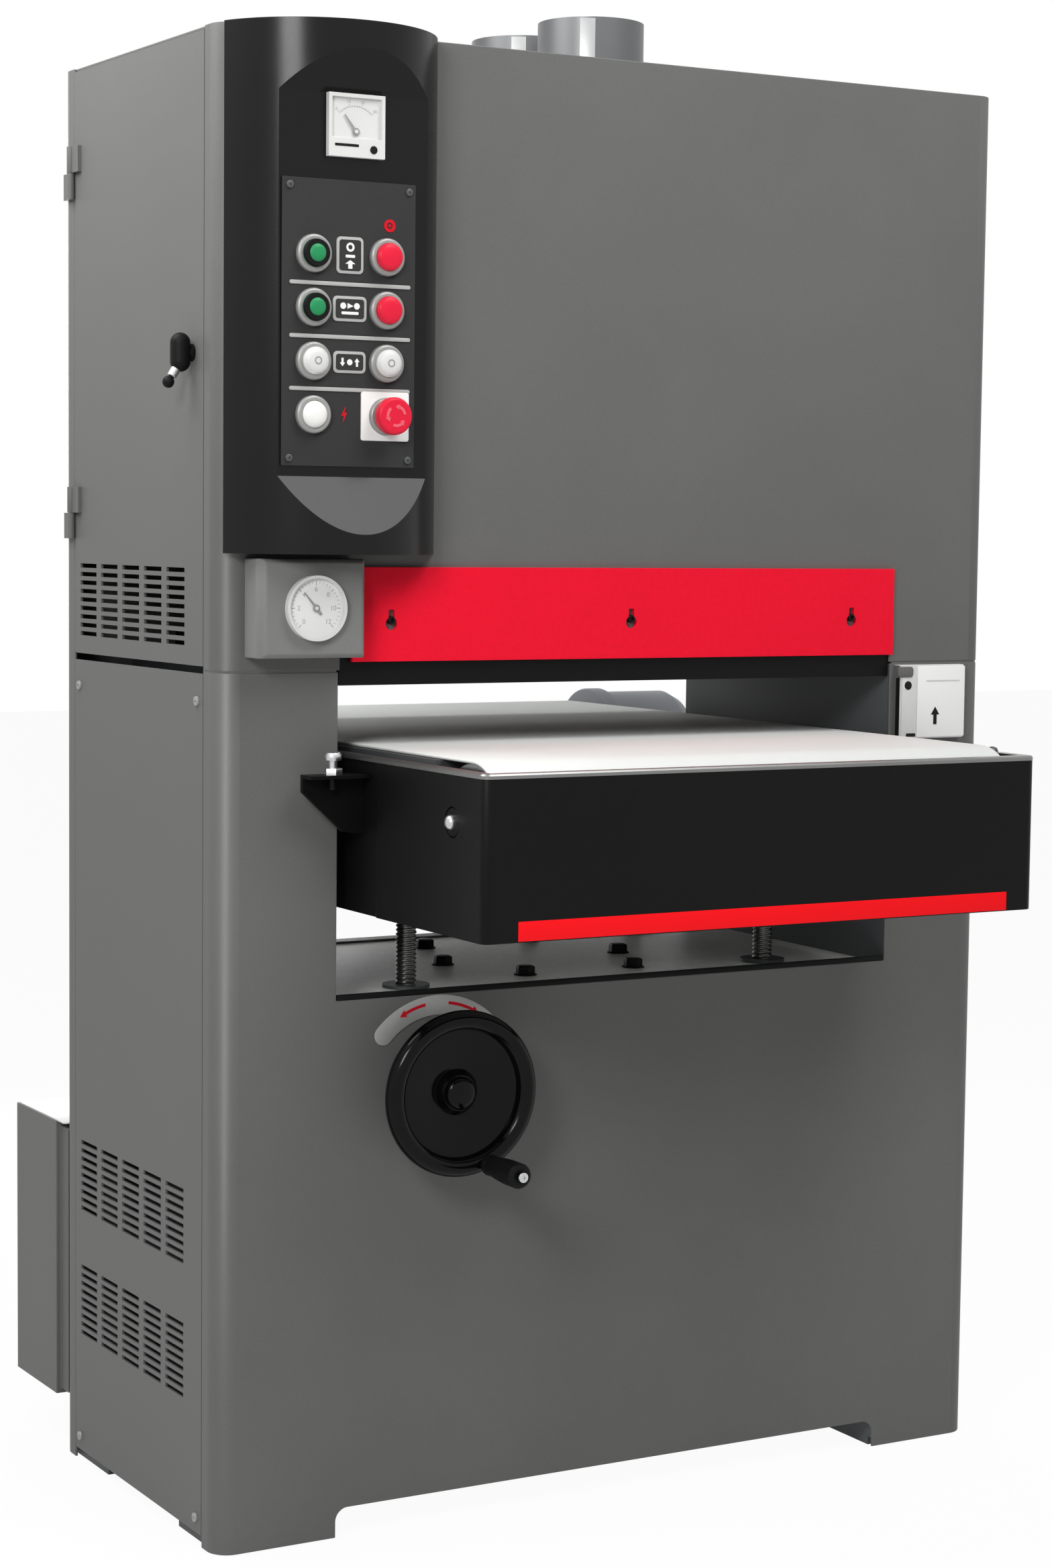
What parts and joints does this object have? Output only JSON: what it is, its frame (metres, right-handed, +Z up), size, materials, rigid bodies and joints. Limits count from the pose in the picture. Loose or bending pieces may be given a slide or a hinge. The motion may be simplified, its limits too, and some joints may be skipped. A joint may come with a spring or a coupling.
{
  "type": "wide belt sander",
  "caption": "Free-standing wide belt sander: sheet-metal cabinet, abrasive belt head with control pedestal, and a conveyor feed table raised by a handwheel.",
  "frame": {"origin": "on the floor under the middle of the cabinet, at the centre of the four anchor holes", "axes": "+X to the right seen from the infeed side, +Y from the infeed side to the outfeed side, +Z up"},
  "size_m": [1.0583, 1.0655, 1.725],
  "materials": {
    "cabinet_grey": "fine-texture powder coat, satin",
    "frame_grey": "satin enamel",
    "deck_grey": "satin enamel",
    "black_paint": "satin powder coat",
    "red_paint": "semi-gloss paint",
    "block_grey": "satin paint",
    "galvanised": "zinc-coated sheet",
    "bright_steel": "turned",
    "grey_iron": "machined",
    "chrome_ring": "polished",
    "gloss_black": "high gloss",
    "matte_black": "satin",
    "control_grey": "satin",
    "white_plastic": "smooth",
    "green_plastic": "smooth",
    "red_plastic": "smooth",
    "motor_alloy": "cast, painted",
    "white_belt": "smooth",
    "black_rubber": "matt",
    "abrasive": "coated grit"
  },
  "bodies": {
    "cabinet": {"side_columns": "frame_grey", "frame_plates": "deck_grey", "lower_front_panel": "cabinet_grey", "rear_panel": "cabinet_grey", "side_panels": "cabinet_grey", "upper_front_panel": "cabinet_grey", "upper_right_panel": "cabinet_grey", "roof_panel": "cabinet_grey", "dust_collars": "galvanised", "head_frame": "frame_grey", "drum_bearings": "grey_iron", "abrasive_belt": "abrasive", "main_motor": "motor_alloy", "drive_belts": "black_rubber", "head_shrouds": "black_paint", "red_guard": "red_paint", "gauge_block": "block_grey", "pressure_gauge": "white_plastic", "plate_box": "white_plastic", "control_pedestal": "gloss_black", "control_plate": "control_grey", "ammeter": "white_plastic", "button_bezels": "chrome_ring", "electrical_box": "cabinet_grey", "lift_chain": "bright_steel", "hinge_pins": "cabinet_grey"},
    "belt_door": {"belt_door": "cabinet_grey"},
    "latch": {"door_latch": "matte_black"},
    "handwheel": {"handwheel": "black_paint", "handwheel_shaft": "bright_steel"},
    "crank": {"crank_handle": "matte_black"},
    "nut_front_left": {"lift_nut_front_left": "grey_iron"},
    "nut_front_right": {"lift_nut_front_right": "grey_iron"},
    "nut_rear_left": {"lift_nut_rear_left": "grey_iron"},
    "nut_rear_right": {"lift_nut_rear_right": "grey_iron"},
    "table": {"table_frame": "black_paint", "table_bed": "grey_iron", "table_end_covers": "black_paint", "feed_belt": "white_belt", "lift_screws": "bright_steel", "feed_motor": "motor_alloy", "stop_bracket": "black_paint"},
    "drive_roller": {"drive_roller": "bright_steel"},
    "idler_roller": {"idler_roller": "bright_steel"},
    "drum": {"contact_drum": "black_rubber", "drum_pulley": "grey_iron"},
    "yoke": {"tension_yoke": "motor_alloy"},
    "tension_roller": {"tension_roller": "bright_steel"},
    "rotor": {"motor_pulley": "grey_iron"},
    "infeed_roller": {"infeed_roller": "black_rubber"},
    "outfeed_roller": {"outfeed_roller": "black_rubber"},
    "sander_start": {"sander_start_button": "green_plastic"},
    "sander_stop": {"sander_stop_button": "red_plastic"},
    "feed_start": {"feed_start_button": "green_plastic"},
    "feed_stop": {"feed_stop_button": "red_plastic"},
    "table_up": {"table_up_button": "white_plastic"},
    "table_down": {"table_down_button": "white_plastic"},
    "estop": {"estop_button": "red_plastic"},
    "ammeter_hand": {"ammeter_needle": "matte_black"},
    "gauge_hand": {"gauge_needle": "matte_black"}
  },
  "joints": [
    {"name": "handwheel_turn", "type": "hinge", "parent": "cabinet", "child": "handwheel", "pos_m": [-0.244, -0.2845, 0.5015], "axis": [0, -1, 0], "range_deg": [-6480, 3960]},
    {"name": "table_lift", "type": "slide", "parent": "cabinet", "child": "table", "axis": [0, 0, 1], "range_m": [-0.0901, 0.0551]},
    {"name": "nut_front_left_turn", "type": "hinge", "parent": "cabinet", "child": "nut_front_left", "pos_m": [-0.244, -0.15, 0.58], "axis": [0, 0, 1], "range_deg": [-3960.5, 6480.5]},
    {"name": "nut_front_right_turn", "type": "hinge", "parent": "cabinet", "child": "nut_front_right", "pos_m": [0.244, -0.15, 0.58], "axis": [0, 0, 1], "range_deg": [-3960.5, 6480.5]},
    {"name": "nut_rear_left_turn", "type": "hinge", "parent": "cabinet", "child": "nut_rear_left", "pos_m": [-0.244, 0.15, 0.58], "axis": [0, 0, 1], "range_deg": [-3960.5, 6480.5]},
    {"name": "nut_rear_right_turn", "type": "hinge", "parent": "cabinet", "child": "nut_rear_right", "pos_m": [0.244, 0.15, 0.58], "axis": [0, 0, 1], "range_deg": [-3960.5, 6480.5]},
    {"name": "crank_spin", "type": "hinge", "parent": "handwheel", "child": "crank", "pos_m": [-0.21493, -0.33, 0.42163], "axis": [0, -1, 0], "continuous": true},
    {"name": "drum_spin", "type": "hinge", "parent": "cabinet", "child": "drum", "pos_m": [0, 0, 1.019], "axis": [1, 0, 0], "continuous": true},
    {"name": "tension_roller_spin", "type": "hinge", "parent": "yoke", "child": "tension_roller", "pos_m": [0, 0, 1.584], "axis": [1, 0, 0], "continuous": true},
    {"name": "motor_spin", "type": "hinge", "parent": "cabinet", "child": "rotor", "pos_m": [0.4, 0, 0.23], "axis": [1, 0, 0], "continuous": true},
    {"name": "tension_slide", "type": "slide", "parent": "cabinet", "child": "yoke", "axis": [0, 0, 1], "range_m": [-0.012, 0], "stiffness_N_per_m": 20000, "springref_m": 0.02},
    {"name": "feed_drive_spin", "type": "hinge", "parent": "table", "child": "drive_roller", "pos_m": [0, 0.459, 0.822], "axis": [1, 0, 0], "continuous": true},
    {"name": "feed_idler_spin", "type": "hinge", "parent": "table", "child": "idler_roller", "pos_m": [0, -0.459, 0.822], "axis": [1, 0, 0], "continuous": true},
    {"name": "infeed_spin", "type": "hinge", "parent": "cabinet", "child": "infeed_roller", "pos_m": [0, -0.125, 0.968], "axis": [1, 0, 0], "continuous": true},
    {"name": "outfeed_spin", "type": "hinge", "parent": "cabinet", "child": "outfeed_roller", "pos_m": [0, 0.125, 0.968], "axis": [1, 0, 0], "continuous": true},
    {"name": "door_swing", "type": "hinge", "parent": "cabinet", "child": "belt_door", "pos_m": [-0.5167, 0.1871, 1.3], "axis": [0, 0, -1], "range_deg": [0, 110]},
    {"name": "latch_turn", "type": "hinge", "parent": "belt_door", "child": "latch", "pos_m": [-0.512, -0.157, 1.308], "axis": [1, 0, 0], "range_deg": [0, 90]},
    {"name": "sander_start_press", "type": "slide", "parent": "cabinet", "child": "sander_start", "axis": [0, 1, 0], "range_m": [0, 0.004], "stiffness_N_per_m": 500},
    {"name": "sander_stop_press", "type": "slide", "parent": "cabinet", "child": "sander_stop", "axis": [0, 1, 0], "range_m": [0, 0.004], "stiffness_N_per_m": 500},
    {"name": "feed_start_press", "type": "slide", "parent": "cabinet", "child": "feed_start", "axis": [0, 1, 0], "range_m": [0, 0.004], "stiffness_N_per_m": 500},
    {"name": "feed_stop_press", "type": "slide", "parent": "cabinet", "child": "feed_stop", "axis": [0, 1, 0], "range_m": [0, 0.004], "stiffness_N_per_m": 500},
    {"name": "table_up_press", "type": "slide", "parent": "cabinet", "child": "table_up", "axis": [0, 1, 0], "range_m": [0, 0.004], "stiffness_N_per_m": 500},
    {"name": "table_down_press", "type": "slide", "parent": "cabinet", "child": "table_down", "axis": [0, 1, 0], "range_m": [0, 0.004], "stiffness_N_per_m": 500},
    {"name": "estop_push", "type": "slide", "parent": "cabinet", "child": "estop", "axis": [0, 1, 0], "range_m": [0, 0.005]},
    {"name": "ammeter_reading", "type": "hinge", "parent": "cabinet", "child": "ammeter_hand", "pos_m": [-0.381, -0.284, 1.538], "axis": [0, 1, 0], "range_deg": [-7, 83], "stiffness_Nm_per_rad": 0.0002},
    {"name": "gauge_reading", "type": "hinge", "parent": "cabinet", "child": "gauge_hand", "pos_m": [-0.417, -0.268, 1.0365], "axis": [0, 1, 0], "range_deg": [-95, 175], "stiffness_Nm_per_rad": 0.0002}
  ],
  "couplings": [
    {"joint": "table_lift", "follows": "handwheel_turn", "m_per_rad": 0.00079577},
    {"joint": "nut_front_left_turn", "follows": "handwheel_turn", "ratio": -1},
    {"joint": "nut_front_right_turn", "follows": "handwheel_turn", "ratio": -1},
    {"joint": "nut_rear_left_turn", "follows": "handwheel_turn", "ratio": -1},
    {"joint": "nut_rear_right_turn", "follows": "handwheel_turn", "ratio": -1},
    {"joint": "tension_roller_spin", "follows": "drum_spin", "ratio": 1.5},
    {"joint": "motor_spin", "follows": "drum_spin", "ratio": 0.82667},
    {"joint": "feed_idler_spin", "follows": "feed_drive_spin", "ratio": 1}
  ]
}
